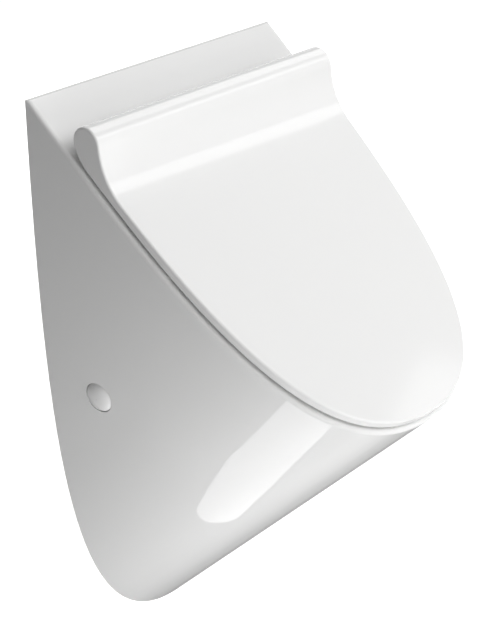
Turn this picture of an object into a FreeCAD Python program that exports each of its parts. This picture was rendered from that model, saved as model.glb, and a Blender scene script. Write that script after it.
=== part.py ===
import FreeCAD, Part
import math
import os
import re
import Sketcher

# Wall-hung urinal with a hinged lid.
# Row frame: wall plane y = 0, bowl towards -Y, +Z up, origin midway between the two wall fixing holes.
# Slope frame: x as above, y uphill along the rim plane, z outward from it, origin at the rim's upper end.

Vector = FreeCAD.Vector
Placement = FreeCAD.Placement
Rotation = FreeCAD.Rotation
X_AXIS = Vector(1, 0, 0)
Y_AXIS = Vector(0, 1, 0)
Z_AXIS = Vector(0, 0, 1)
SIDES = (("left", -1), ("right", 1))
OVERCUT = 1.0           # how far a cut runs past the face that it opens
FLAT = 0.01             # how far a point may lie off a plane and still count as on it
BOWL_SHARES = (0, 0.25, 0.5, 0.75, 1)      # sections of the bowl, from the rim to the sump
RIM_WAIST, SUMP_WAIST = 0.72, 0.5          # widest place of a section, as a share of its length
BOWL_CLOSING = 1.6                         # how late the bowl narrows on its way down
RIM_HANDLES = (0.80, 0.75, 0.30, 0.82)     # fullness of the bowl's rim: upper corner, top, lower corner, tip
CIRCLE_HANDLE = 0.5523                     # handle that draws a quarter circle
JET_ANGLES = (-70, -35, 0, 35, 70)         # jets round the lower half of the spreader's hood
BUFFERS = (("front_buffers", "front_buffer_distance", "front_buffer_spacing"),
           ("rear_buffers", "rear_buffer_distance", "rear_buffer_spacing"))
STRAINER_RINGS = ("strainer_ring", "strainer_inner_ring")

SIZES = (
    ("body_width", 320, "ceramic body, overall width"),
    ("body_height", 600, "ceramic body, overall height"),
    ("fixing_height", 315, "side fixings above the lowest point"),
    ("top_land", 4, "flat strip at the top of the wall edge"),
    ("rim_slope", 38.7, "rim plane above the horizontal, degrees"),
    ("rim_length", 432, "rim plane from the land to the front tip"),
    ("wall_straight", 319, "wall outline: reach of its upright sides"),
    ("wall_belly", 144, "wall outline: half reach of its flat bottom"),
    ("rim_straight", 207, "rim outline: reach of its straight sides"),
    ("rim_belly", 156, "rim outline: half reach of its round front"),
    ("rim_edge", 4, "rounding of the outer rim edge"),
    ("shell_wall", 12, "ceramic wall thickness"),
    ("rim_thickness", 24, "ceramic thickness under the rim plane"),
    ("rim_width", 26, "rim in front of the bowl"),
    ("rim_side_width", 32, "rim beside the bowl"),
    ("ledge_length", 124, "solid ledge that carries the hinges"),
    ("bowl_edge", 7, "rounding of the bowl's edge"),
    ("sump_drop", 325, "sump floor below the top"),
    ("sump_height", "=body_height - sump_drop", "sump floor above the lowest point"),
    ("sump_distance", 95, "drain axis in front of the wall"),
    ("sump_radius", 36, "round end of the bowl"),
    ("bowl_back_gap", 55, "nearest reach of the bowl to the wall"),
    ("drain_hole", 25, "radius of the hole through the sump"),
    ("drain_seat", 34, "radius of the flat seat round the drain"),
    ("drain_boss", 41, "radius of the boss under the drain"),
    ("drain_boss_depth", 13, "height of that boss under the seat"),
    ("inlet_drop", 145, "water inlet below the top"),
    ("inlet_height", "=body_height - inlet_drop", "water inlet above the lowest point"),
    ("inlet_hole", 14, "radius of the inlet hole"),
    ("inlet_seat", 24, "radius of the flat seat in the bowl"),
    ("inlet_seat_distance", 66, "that seat in front of the wall"),
    ("inlet_boss", 30, "radius of the boss behind the bowl"),
    ("inlet_boss_distance", 53, "rear face of that boss in front of the wall"),
    ("lid_inset", 4.2, "lid outline inside the rim outline"),
    ("lid_gap", 2, "underside of the lid above the rim"),
    ("lid_thickness", 9.5, "lid edge thickness"),
    ("lid_edge", 2, "rounding of the lid's edges"),
    ("lid_border", 16, "thick border under the lid"),
    ("lid_recess", 4.5, "hollow of the lid inside that border"),
    ("lid_recess_start", 152, "upper end of that hollow"),
    ("ridge_radius", 17, "round top of the grip ridge"),
    ("ridge_distance", 71.5, "hinge axis along the slope"),
    ("ridge_height", 22.5, "hinge axis above the rim plane"),
    ("ridge_blend", 68, "hollow blend from the ridge to the panel"),
    ("ridge_under", 16.5, "reach of the rounding under the ridge"),
    ("hinge_spacing", 200, "between the two hinges"),
    ("hinge_slot", 30, "width of the slot round a hinge"),
    ("hinge_gap", 1.8, "free space between a hinge and the lid"),
    ("hinge_eye", 8.5, "outer radius of the hinge eye"),
    ("hinge_arm_width", 16, "hinge arm along its axis"),
    ("hinge_arm_thickness", 7, "hinge arm across its length"),
    ("hinge_base_radius", 12, "round foot of the hinge"),
    ("hinge_base_height", 6, "height of that foot"),
    ("hinge_base_distance", 100, "foot along the slope"),
    ("hinge_gasket", 0.8, "washer under the foot"),
    ("hinge_shaft", 4, "radius of the hinge shaft"),
    ("hinge_shaft_length", 88, "length of the hinge shaft"),
    ("hinge_shaft_outer", 30, "shaft outside the hinge's middle"),
    ("running_gap", 0.05, "radial play of turning fits"),
    ("damper_radius", 9, "lid damper cartridge radius"),
    ("damper_length", 52, "lid damper cartridge length"),
    ("hinge_bolt", 3, "radius of the hinge bolt"),
    ("hinge_bolt_head", 5.5, "radius of its countersunk head"),
    ("hinge_bolt_length", 44, "length of the hinge bolt"),
    ("hinge_hole", 7, "radius of the hinge hole in the ceramic"),
    ("plug_flare", 10, "radius of the rubber plug below the ledge"),
    ("plug_flare_height", 10, "height of that flare"),
    ("hinge_nut_height", 6, "height of the nut under the plug"),
    ("buffer_radius", 5, "lid buffer radius"),
    ("buffer_stem", 3, "radius of its stem"),
    ("buffer_stem_depth", 4, "stem inside the lid"),
    ("buffer_clearance", 0.3, "buffer above the closed rim"),
    ("front_buffer_distance", 418, "front buffers along the slope"),
    ("front_buffer_spacing", 70, "between the front buffers"),
    ("rear_buffer_distance", 205, "rear buffers along the slope"),
    ("rear_buffer_inset", 18, "rear buffer inside the ceramic's side"),
    ("rear_buffer_spacing", "=body_width - 2 * rear_buffer_inset", "between the rear buffers"),
    ("side_fixing_distance", 64, "side fixing in front of the wall"),
    ("side_fixing_inset", 16, "side fixing inside the ceramic's widest place"),
    ("side_fixing_half", "=body_width / 2 - side_fixing_inset", "side fixing from the middle plane"),
    ("side_fixing_yaw", 6.3, "turn of the fixing axis about Z, degrees"),
    ("side_fixing_dip", 7.5, "tilt of the fixing axis, degrees"),
    ("side_hole", 8, "radius of the fixing hole in the side"),
    ("side_recess", 15.6, "radius of the recess for the cap"),
    ("side_recess_depth", 6, "depth of that recess"),
    ("cap_radius", 15, "cover cap radius"),
    ("cap_rim", 1.5, "height of the cap's straight edge"),
    ("cap_proud", 0.7, "cap edge outside the ceramic"),
    ("cap_dome", 2.2, "rise of the cap's dome"),
    ("cap_clip", 1.4, "thickness of the clip ring behind the cap"),
    ("seat_gap", 0.1, "play between parts that plug together"),
    ("bush_sleeve_length", 9, "length of the bush's sleeve"),
    ("bush_flange", 12, "radius of the bush's flange"),
    ("bush_flange_height", 2, "height of that flange"),
    ("side_screw", 4, "radius of the side screw"),
    ("side_screw_head", 6.5, "radius of its head"),
    ("side_screw_head_height", 3, "height of its head"),
    ("side_screw_length", 34, "length of the side screw"),
    ("bracket_thickness", 4, "wall bracket sheet"),
    ("bracket_height", 50, "wall bracket height"),
    ("bracket_arm", 78, "bracket reach from the wall"),
    ("bracket_foot_inside", 18, "bracket foot beyond its wall hole"),
    ("bracket_offset", 16, "bracket arm inside the fixing point"),
    ("bracket_hole", 5.5, "radius of the wall fixing hole"),
    ("wall_hole_inset", 56, "wall fixing hole inside the ceramic's widest place"),
    ("wall_hole_spacing", "=body_width - 2 * wall_hole_inset", "between the two wall fixing holes"),
    ("bracket_nut", 8, "circumradius of the fixing nut"),
    ("bracket_nut_height", 7, "height of the fixing nut"),
    ("lid_travel", 130, "opening angle of the lid, degrees"),
    ("inlet_thread", 10.48, "radius of the inlet's pipe thread"),
    ("inlet_thread_length", 14, "thread beyond the wall plane"),
    ("inlet_collar", 15, "radius of the inlet pipe's collar"),
    ("inlet_collar_length", 8, "length of that collar"),
    ("inlet_pipe", 9, "outer radius of the inlet pipe"),
    ("inlet_bore", 6, "bore radius of the inlet pipe"),
    ("inlet_pipe_end", 56, "front end of the pipe from the wall"),
    ("inlet_seal_width", 3, "width of the seal on the pipe"),
    ("inlet_gasket", 2, "gasket behind the inlet boss"),
    ("inlet_nut_height", 7, "height of the inlet nut"),
    ("inlet_nut", 24, "circumradius of the inlet nut"),
    ("spreader_tail_end", 36, "rear end of the spreader from the wall"),
    ("spreader_flange", 22, "radius of the spreader's flange"),
    ("spreader_flange_height", 3, "height of that flange"),
    ("spreader_hood", 16, "radius of the spreader's hood"),
    ("spreader_hood_height", 13, "reach of the hood into the bowl"),
    ("spreader_wall", 2, "wall of the hood"),
    ("spreader_jet", 2, "radius of each jet hole"),
    ("drain_gasket", 1.5, "gasket on the drain seat"),
    ("waste_flange", 31, "radius of the waste flange"),
    ("waste_flange_height", 3, "height of that flange"),
    ("waste_tube", 23, "outer radius of the waste tube"),
    ("waste_tube_wall", 3, "wall of the waste tube"),
    ("waste_tube_reach", 37, "waste tube below the sump floor"),
    ("waste_bar", 11, "width of the bar across the waste"),
    ("waste_bar_height", 5, "height of that bar"),
    ("waste_bar_depth", 11, "foot of that bar below the sump floor"),
    ("strainer_radius", 29, "strainer radius"),
    ("strainer_thickness", 2, "strainer thickness"),
    ("strainer_dome", 3, "rise of the strainer"),
    ("strainer_hole", 2.6, "radius of each strainer hole"),
    ("strainer_ring", 18, "outer circle of strainer holes"),
    ("strainer_inner_ring", 11, "inner circle of strainer holes"),
    ("strainer_pitch", 9.4, "between neighbouring strainer holes"),
    ("strainer_screw", 3, "radius of the strainer screw"),
    ("strainer_screw_head", 6, "radius of its head"),
    ("strainer_screw_head_height", 2, "height of its head"),
    ("strainer_screw_length", 22, "strainer screw under its head"),
    ("lower_gasket", 3, "gasket under the drain boss"),
    ("waste_nut", 36, "radius of the waste nut"),
    ("waste_nut_height", 7, "height of the waste nut"),
    ("trap_neck", 27, "outer radius of the trap's neck"),
    ("trap_neck_top", 32, "top of the neck below the sump floor"),
    ("trap_shoulder", 40, "top of the cup below the sump floor"),
    ("trap_radius", 37, "outer radius of the trap cup"),
    ("trap_bottom", 112, "bottom of the cup below the sump floor"),
    ("trap_wall", 3, "wall of the trap"),
    ("trap_bevel", 10, "bevel at the foot of the cup"),
    ("trap_nut", 33, "outer radius of the trap's union nuts"),
    ("trap_seal", 3, "height of the seals under those nuts"),
    ("trap_nut_lip", 3, "lip of those nuts"),
    ("trap_nut_skirt", 9, "reach of those nuts over the seal and the neck"),
    ("dip_tube_wall", 2, "wall of the dip tube"),
    ("dip_tube_top", 14, "dip tube inside the waste tube"),
    ("dip_tube_bottom", 96, "dip tube's end below the sump floor"),
    ("outlet_drop", 68, "outlet axis below the sump floor"),
    ("outlet_pipe", 25, "outer radius of the outlet pipe"),
    ("outlet_pipe_wall", 2, "wall of the outlet pipe"),
    ("outlet_socket", 29, "outer radius of the outlet socket"),
    ("outlet_socket_end", 45, "socket's end in front of the wall"),
    ("outlet_socket_depth", 10, "pipe inside the socket"),
    ("outlet_beyond", 40, "outlet pipe behind the wall plane"),
    ("outlet_bead", 27, "radius of the stop bead on the outlet pipe"),
    ("outlet_bead_width", 4, "width of that bead"),
    ("outlet_bead_gap", 1, "bead outside the outlet nut"),
)

document = FreeCAD.newDocument("wall_hung_urinal")
sheet = document.addObject("Spreadsheet::Sheet", "Sizes")
for row, (alias, number, meaning) in enumerate(SIZES, start=1):
    sheet.set(f"A{row}", str(number))
    sheet.setAlias(f"A{row}", alias)
    sheet.set(f"B{row}", meaning)
document.recompute()
ALIASES = {alias for alias, number, meaning in SIZES}
SUB_PARTS = []


def size(alias):
    return float(sheet.get(alias))


def linked(formula):
    """The formula with each size named as a cell of the sheet."""
    return re.sub(r"[a-z_]+", lambda word: "Sizes." + word[0] if word[0] in ALIASES else word[0], formula)


def bind(feature, **formulas):
    for name, formula in formulas.items():
        feature.setExpression(name, linked(formula))
    return feature


def sub_part(feature, label, place=Placement()):
    """Name a finished piece and put it in its place."""
    feature.Label = label
    feature.Placement = place
    SUB_PARTS.append(feature)
    return feature


def vertical(height):
    """A height above the lowest point, as a z of the row frame."""
    return height - size("fixing_height")


def top_height():
    return vertical(size("body_height"))


def slope_frame():
    return Placement(Vector(0, -size("top_land"), top_height()), Rotation(X_AXIS, size("rim_slope")))


def upward(height):
    return Placement(Vector(0, 0, height), Rotation())


# ---- building blocks -------------------------------------------------------

def cylinder(name, radius, height, place=Placement()):
    feature = document.addObject("Part::Cylinder", name)
    feature.Placement = place
    return bind(feature, Radius=radius, Height=height)


def cone(name, lower, upper, height, place=Placement()):
    feature = document.addObject("Part::Cone", name)
    feature.Placement = place
    return bind(feature, Radius1=lower, Radius2=upper, Height=height)


def dome(name, rim, rise, thickness, place=Placement()):
    """A round plate with a domed face: a disc kept inside a ball."""
    disc = cylinder(f"{name}_disc", rim, f"{thickness} + {rise}", place)
    ball = document.addObject("Part::Sphere", f"{name}_ball")
    bind(ball, Radius=f"({rim} * {rim} + {rise} * {rise}) / (2 * {rise})")
    ball_radius = (size(rim) ** 2 + size(rise) ** 2) / (2 * size(rise))
    ball.Placement = place * Placement(Vector(0, 0, size(thickness) + size(rise) - ball_radius), Rotation())
    return common(name, disc, ball)


def box(name, length, width, height, place=Placement()):
    feature = document.addObject("Part::Box", name)
    feature.Placement = place
    return bind(feature, Length=length, Width=width, Height=height)


def hexagon(name, radius, height, place=Placement()):
    feature = document.addObject("Part::Prism", name)
    feature.Placement = place
    feature.Polygon = 6
    return bind(feature, Circumradius=radius, Height=height)


def fused(name, *shapes):
    feature = document.addObject("Part::MultiFuse", name)
    feature.Shapes = list(shapes)
    return feature


def cut(name, base, *tools):
    feature = document.addObject("Part::Cut", name)
    feature.Base = base
    feature.Tool = tools[0] if len(tools) == 1 else fused(name + "_tools", *tools)
    return feature


def common(name, base, tool):
    feature = document.addObject("Part::Common", name)
    feature.Base = base
    feature.Tool = tool
    return feature


def loft(name, sections, ruled=False):
    feature = document.addObject("Part::Loft", name)
    feature.Sections = sections
    feature.Solid = True
    feature.Ruled = ruled
    return feature


def shaped(name, shape, place=Placement()):
    feature = document.addObject("Part::Feature", name)
    feature.Shape = shape
    feature.Placement = place
    return feature


def origin_plane(body, role):
    return next(item for item in body.Origin.OriginFeatures if item.Role == role)


def profile_sketch(body, plane, corners):
    """A closed outline of straight lines whose corners are bound to formulas."""
    sketch = body.newObject("Sketcher::SketchObject", body.Name + "_profile")
    sketch.AttachmentSupport = (origin_plane(body, plane), [""])
    sketch.MapMode = "FlatFace"
    count = len(corners)
    rough = [Vector(1 + 2 * i, 1 + i * i, 0) for i in range(count)]
    for i in range(count):
        sketch.addGeometry(Part.LineSegment(rough[i], rough[(i + 1) % count]))
    for i in range(count):
        sketch.addConstraint(Sketcher.Constraint("Coincident", i, 2, (i + 1) % count, 1))
    for i, (across, along) in enumerate(corners):
        for kind, formula, axis in (("DistanceX", across, -2), ("DistanceY", along, -1)):
            if formula == "0":
                sketch.addConstraint(Sketcher.Constraint("PointOnObject", i, 1, axis))
            else:
                number = sketch.addConstraint(Sketcher.Constraint(kind, -1, 1, i, 1, 1.0))
                sketch.setExpression(f"Constraints[{number}]", linked(formula))
    return sketch


def revolved(name, corners):
    """A body turned about its own Z: corners are (radius, height)."""
    body = document.addObject("PartDesign::Body", name)
    sketch = profile_sketch(body, "XZ_Plane", corners)
    revolution = body.newObject("PartDesign::Revolution", name + "_turned")
    revolution.Profile = sketch
    revolution.ReferenceAxis = (sketch, ["V_Axis"])
    return body


def turned(label, corners, place=Placement()):
    return sub_part(revolved(label, corners), label, place)


def seal_ring(label, inner, outer, height, place):
    """A plain ring: seal, gasket, tube or round nut."""
    turned(label, [(inner, "0"), (outer, "0"), (outer, height), (inner, height)], place)


# ---- ceramic body ----------------------------------------------------------

def bezier(*poles):
    curve = Part.BezierCurve()
    curve.setPoles([Vector(*pole) for pole in poles])
    return curve.toShape()


def line(start, end):
    return Part.LineSegment(start, end).toShape()


def u_outline(half, top, straight, belly, bottom):
    """A closed U: flat top edge, straight shoulders, round bottom."""
    right = [Vector(half, top, 0), Vector(half, top - straight, 0), Vector(belly, bottom, 0)]
    left = [Vector(-pole.x, pole.y, 0) for pole in reversed(right)]
    curve = Part.BSplineCurve()
    curve.buildFromPolesMultsKnots(right + left, (4, 2, 4), (0, 1, 2), False, 3)
    return Part.Wire([line(left[-1], right[0]), curve.toShape()])


def wall_plane(distance=0):
    return Placement(Vector(0, -distance, 0), Rotation(X_AXIS, 90))


def rim_plane(height=0):
    return slope_frame() * Placement(Vector(0, 0, height), Rotation())


def outer_form():
    half = size("body_width") / 2
    wall = u_outline(half, top_height(), size("wall_straight"), size("wall_belly"), vertical(0))
    rim = u_outline(half, 0, size("rim_straight"), size("rim_belly"), -size("rim_length"))
    sections = [shaped("wall_outline", wall, wall_plane()), shaped("rim_outline", rim, rim_plane())]
    return loft("outer_form", sections, ruled=True)


def hollow_form():
    """The space behind the bowl, open towards the wall."""
    wall = size("shell_wall")
    half = size("body_width") / 2 - wall
    depth = size("rim_thickness")
    slope = math.radians(size("rim_slope"))
    drop = (size("top_land") * math.sin(slope) + depth) / math.cos(slope)
    back = u_outline(half, top_height() - drop, size("wall_straight") - drop, size("wall_belly") - wall,
                     vertical(0) + wall / math.cos(slope))
    front = u_outline(half, -size("top_land"), size("rim_straight"), size("rim_belly") - wall,
                      -size("rim_length") + wall / math.cos(slope))
    sections = [shaped("hollow_back", back, wall_plane(-OVERCUT)),
                shaped("hollow_front", front, rim_plane(-depth))]
    return loft("hollow_form", sections, ruled=True)


def curve_point(start, pull, end, share):
    """A point of the quadratic curve from start to end that pull bends."""
    rest = 1 - share
    return start * (rest * rest) + pull * (2 * share * rest) + end * (share * share)


def bowl_guides():
    """Back and front lines of the bowl in the middle plane: start, pull and end of each."""
    slope = slope_frame()
    floor = vertical(size("sump_height"))
    back_rim = slope.multVec(Vector(0, -size("ledge_length"), 0))
    front_rim = slope.multVec(Vector(0, size("rim_width") - size("rim_length"), 0))
    back_sump = Vector(0, size("sump_radius") - size("sump_distance"), floor)
    front_sump = Vector(0, -size("sump_radius") - size("sump_distance"), floor)
    back_pull = Vector(0, -size("bowl_back_gap"), (back_rim.z * 2 + floor) / 3)
    front_pull = Vector(0, (front_rim.y + front_sump.y) / 2, floor + size("shell_wall") / 2)
    return (back_rim, back_pull, back_sump), (front_rim, front_pull, front_sump)


def bowl_section(name, share, skin):
    """One closed section of the bowl, wider by skin all round."""
    back_guide, front_guide = bowl_guides()
    back = curve_point(*back_guide, share)
    front = curve_point(*front_guide, share)
    along = (back - front).normalize()
    length = (back - front).Length + 2 * skin
    rim_half = size("body_width") / 2 - size("rim_side_width")
    half = rim_half + (size("sump_radius") - rim_half) * share ** BOWL_CLOSING + skin
    waist = RIM_WAIST + (SUMP_WAIST - RIM_WAIST) * share
    up, down = length * (1 - waist), length * waist
    handles = [handle + (CIRCLE_HANDLE - handle) * share for handle in RIM_HANDLES]
    corner_up, top_up, corner_down, tip_down = handles
    centre = front + along * (down - skin)
    edges = []
    for side in (1, -1):
        upper = bezier((side * half, 0), (side * half, corner_up * up), (side * top_up * half, up), (0, up))
        lower = bezier((side * half, 0), (side * half, -corner_down * down),
                       (side * tip_down * half, -down), (0, -down))
        edges += [upper, lower]
    wire = Part.Wire(Part.__sortEdges__(edges))
    tilt = math.degrees(math.atan2(along.z, along.y))
    return shaped(name, wire, Placement(centre, Rotation(X_AXIS, tilt)))


def bowl_form(name, skin):
    sections = [bowl_section(f"{name}_{number}", share, skin) for number, share in enumerate(BOWL_SHARES)]
    return loft(name, sections)


def side_fixing_frame(sign, depth=0):
    """Frame on the fixing axis, +Z inward along it, at a depth under the ceramic's side."""
    yaw = Rotation(Z_AXIS, -sign * size("side_fixing_yaw"))
    dip = Rotation(Y_AXIS, sign * size("side_fixing_dip"))
    inward = Rotation(Y_AXIS, -sign * 90)
    point = Vector(sign * size("side_fixing_half"), -size("side_fixing_distance"), 0)
    return Placement(point, yaw * dip * inward) * Placement(Vector(0, 0, depth), Rotation())


def hinge_frame(sign, distance, height=0):
    """Slope frame moved to a hinge's middle, a distance down the slope."""
    return slope_frame() * Placement(Vector(sign * size("hinge_spacing") / 2, -distance, height), Rotation())


def drain_frame(height=0):
    """Upright frame on the drain axis, at a height above the sump floor."""
    return Placement(Vector(0, -size("sump_distance"), vertical(size("sump_height")) + height), Rotation())


def inlet_frame(distance=0):
    """Frame on the inlet axis, +Z towards the user, at a distance in front of the wall."""
    return Placement(Vector(0, -distance, vertical(size("inlet_height"))), Rotation(X_AXIS, 90))


def above(frame, height):
    return frame * Placement(Vector(0, 0, height), Rotation())


def below(frame, depth):
    return above(frame, -depth)


def sampled(edge):
    """Three points of an edge, clear of its ends."""
    return [edge.valueAt(edge.getParameterByLength(edge.Length * share)) for share in (0.1, 0.5, 0.9)]


def spread(points, axis):
    values = [point.dot(axis) for point in points]
    return max(values) - min(values)


def runs_across(edge):
    """True for a straight edge along X."""
    points = sampled(edge)
    return spread(points, Y_AXIS) < FLAT and spread(points, Z_AXIS) < FLAT


def edges_on_rim_plane(shape):
    """Number of the outer rim's edge and numbers of the bowl's edges, all in the rim plane."""
    to_slope = slope_frame().inverse()
    found = []
    for number, edge in enumerate(shape.Edges, start=1):
        heights = [abs(to_slope.multVec(point).z) for point in sampled(edge)]
        is_hole = edge.Curve.TypeId == "Part::GeomCircle"
        if max(heights) < FLAT and not is_hole and not runs_across(edge):
            found.append((edge.Length, number))
    found.sort()
    return found[-1][1], [number for length, number in found[:-1]]


def ceramic_bosses():
    """Thick places under the drain and behind the water inlet."""
    drain = cylinder("drain_boss_form", "drain_boss", "drain_boss_depth + shell_wall",
                     below(drain_frame(), size("drain_boss_depth")))
    inlet = cylinder("inlet_boss_form", "inlet_boss",
                     "inlet_seat_distance - inlet_boss_distance + shell_wall",
                     inlet_frame(size("inlet_boss_distance")))
    return [drain, inlet]


def ceramic_holes():
    """Flat seats and holes for the drain, the inlet, the hinges and the side fixings."""
    holes = [
        cylinder("drain_seat_cut", "drain_seat", "shell_wall", drain_frame()),
        cylinder("drain_hole_cut", "drain_hole", "2 * drain_boss_depth",
                 below(drain_frame(), size("drain_boss_depth") + OVERCUT)),
        cylinder("inlet_seat_cut", "inlet_seat", "2 * shell_wall", inlet_frame(size("inlet_seat_distance"))),
        cylinder("inlet_hole_cut", "inlet_hole", "inlet_seat_distance", inlet_frame(OVERCUT)),
    ]
    for side, sign in SIDES:
        ledge = hinge_frame(sign, size("hinge_base_distance"))
        holes.append(cylinder(f"hinge_hole_{side}", "hinge_hole", "2 * rim_thickness",
                              below(ledge, 1.5 * size("rim_thickness"))))
        outside = side_fixing_frame(sign, -size("side_recess_depth"))
        holes.append(cylinder(f"side_hole_{side}", "side_hole", "2 * shell_wall", outside))
        holes.append(cylinder(f"side_recess_{side}", "side_recess", "2 * side_recess_depth", outside))
    return holes


def ceramic_body():
    outer = outer_form()
    shell = cut("shell", outer, hollow_form())
    skin = common("bowl_wall", bowl_form("bowl_skin", size("shell_wall")), outer)
    body = fused("body_with_bowl", shell, skin, *ceramic_bosses())
    pierced = cut("pierced_body", body, bowl_form("bowl", 0), *ceramic_holes())
    document.recompute()
    outer_edge, bowl_edges = edges_on_rim_plane(pierced.Shape)
    rounded = document.addObject("Part::Fillet", "ceramic")
    rounded.Base = pierced
    rim, bowl = size("rim_edge"), size("bowl_edge")
    rounded.Edges = [(outer_edge, rim, rim)] + [(number, bowl, bowl) for number in bowl_edges]
    return sub_part(rounded, "ceramic_body")


# ---- lid -------------------------------------------------------------------

def slope_point(distance, height):
    """A point of the slope frame's middle plane."""
    return Vector(0, -distance, height)


def arc(start, middle, end):
    return Part.Arc(start, middle, end).toShape()


def lid_profile():
    """The lid's side view: panel, hollow blend, round ridge and its rounded underside."""
    radius, blend = size("ridge_radius"), size("ridge_blend")
    axis_s, axis_n = size("ridge_distance"), size("ridge_height")
    bottom = size("lid_gap")
    top = bottom + size("lid_thickness")
    end = size("rim_length") + size("lid_inset")
    blend_n = top + blend
    blend_s = axis_s + math.sqrt((radius + blend) ** 2 - (blend_n - axis_n) ** 2)
    turn = math.atan2(blend_n - axis_n, blend_s - axis_s)
    ridge_front = slope_point(axis_s + radius * math.cos(turn), axis_n + radius * math.sin(turn))
    ridge_top = slope_point(axis_s, axis_n + radius)
    ridge_back = slope_point(axis_s - radius, axis_n)
    half_turn = (turn - math.pi / 2) / 2
    blend_middle = slope_point(blend_s + blend * math.sin(half_turn), blend_n - blend * math.cos(half_turn))
    blend_end = slope_point(blend_s, top)
    under_start = slope_point(axis_s + size("ridge_under"), bottom)
    rise, reach = axis_n - bottom, size("ridge_under") + radius
    under_pull = slope_point(axis_s + size("ridge_under") - CIRCLE_HANDLE * reach, bottom)
    back_pull = slope_point(axis_s - radius, axis_n - CIRCLE_HANDLE * rise)
    edges = [
        line(slope_point(end, bottom), under_start),
        bezier(under_start, under_pull, back_pull, ridge_back),
        arc(ridge_back, ridge_top, ridge_front),
        arc(ridge_front, blend_middle, blend_end),
        line(blend_end, slope_point(end, top)),
        line(slope_point(end, top), slope_point(end, bottom)),
    ]
    return Part.Wire(edges)


def extrusion(name, wire, along, place=Placement()):
    """A closed outline moved along a vector to a solid."""
    return shaped(name, Part.Face(wire).extrude(along), place)


def lid_outline(inset, top):
    half = size("body_width") / 2 - inset
    return u_outline(half, top, size("rim_straight"), size("rim_belly") - inset, inset - size("rim_length"))


def hinge_slot_angles():
    """Start and sweep, in degrees about the hinge axis, of the space that the hinge needs in the lid."""
    axis_s, axis_n, gap = size("ridge_distance"), size("ridge_height"), size("hinge_gap")
    foot_s, foot_top = size("hinge_base_distance"), size("hinge_gasket") + size("hinge_base_height")
    start = math.atan2(foot_top + gap - axis_n, foot_s + size("hinge_base_radius") + gap - axis_s)
    arm = math.atan2(foot_top / 2 - axis_n, foot_s - size("hinge_base_radius") - axis_s)
    play = math.asin((size("hinge_arm_thickness") / 2 + gap) / size("ridge_radius"))
    end = arm - math.radians(size("lid_travel")) - play
    return math.degrees(start), math.degrees(start - end)


def hinge_arm_line():
    """Length of the hinge arm from the axis to its foot, and its lean below the rim plane in degrees."""
    run = size("hinge_base_distance") - size("hinge_base_radius") / 2 - size("ridge_distance")
    drop = size("ridge_height") - size("hinge_gasket") - size("hinge_base_height") / 2
    return math.hypot(run, drop), math.degrees(math.atan2(drop, run))


def across(frame, sign, start=0):
    """Frame whose +Z runs outward along X, from start outside the hinge's middle."""
    return frame * Placement(Vector(sign * start, 0, 0), Rotation(Y_AXIS, sign * 90))


def hinge_axis_frame(sign):
    return hinge_frame(sign, size("ridge_distance"), size("ridge_height"))


def lid_blank():
    """The side view carried across the lid's plan, with its edges rounded."""
    half = size("body_width") / 2
    side_view = extrusion("lid_side_view", lid_profile(), Vector(2 * half, 0, 0),
                          Placement(Vector(-half, 0, 0), Rotation()))
    tall = 2 * (size("ridge_height") + size("ridge_radius"))
    plan = extrusion("lid_plan_view", lid_outline(size("lid_inset"), 0), Vector(0, 0, tall))
    blank = common("lid_blank", side_view, plan)
    document.recompute()
    edge_radius = size("lid_edge")
    rounded = document.addObject("Part::Fillet", "lid_rounded")
    rounded.Base = blank
    rounded.Edges = [(number, edge_radius, edge_radius)
                     for number, edge in enumerate(blank.Shape.Edges, start=1) if not runs_across(edge)]
    return rounded


def lid_recess():
    """Shallow hollow under the panel, inside its border."""
    half = size("body_width") / 2
    plan = extrusion("lid_recess_plan", lid_outline(size("lid_inset") + size("lid_border"), 0),
                     Vector(0, 0, size("lid_gap") + size("lid_recess")))
    stretch = box("lid_recess_box", "body_width", "rim_length - lid_recess_start", "lid_gap + lid_recess",
                  Placement(Vector(-half, -size("rim_length"), 0), Rotation()))
    return common("lid_recess_form", plan, stretch)


def hinge_spaces(side, sign):
    """What a hinge needs in the ridge: slot, shaft bore and damper pocket."""
    axis = slope_frame().inverse() * hinge_axis_frame(sign)
    slot_half = size("hinge_slot") / 2
    start, sweep = hinge_slot_angles()
    turned_start = Rotation(X_AXIS, -90 - start) * Rotation(Y_AXIS, 90)
    sector = cylinder(f"slot_sweep_{side}", "4 * ridge_radius", "hinge_slot",
                      axis * Placement(Vector(-slot_half, 0, 0), turned_start))
    sector.Angle = sweep
    length, lean = hinge_arm_line()
    arm_side = -size("hinge_arm_thickness") / 2 - size("hinge_gap")
    arm = box(f"slot_arm_{side}", "hinge_slot", "hinge_arm_thickness + 2 * hinge_gap", str(length),
              axis * Placement(Vector(), Rotation(X_AXIS, 90 + lean))
              * Placement(Vector(-slot_half, arm_side, 0), Rotation()))
    eye = cylinder(f"slot_eye_{side}", "hinge_eye + hinge_gap", "hinge_slot",
                   axis * Placement(Vector(-slot_half, 0, 0), Rotation(Y_AXIS, 90)))
    pocket = cylinder(f"damper_pocket_{side}", "damper_radius + running_gap", "damper_length + seat_gap",
                      across(axis, -sign, slot_half))
    bore = cylinder(f"shaft_bore_{side}", "hinge_shaft + running_gap",
                    "hinge_shaft_outer - hinge_slot / 2 + hinge_gap", across(axis, sign, slot_half))
    return [sector, arm, eye, pocket, bore]


def buffer_places(distance, spacing, height):
    """Places of a pair of buffers on the rim plane."""
    return [Placement(Vector(sign * size(spacing) / 2, -size(distance), height), Rotation())
            for side, sign in SIDES]


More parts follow.
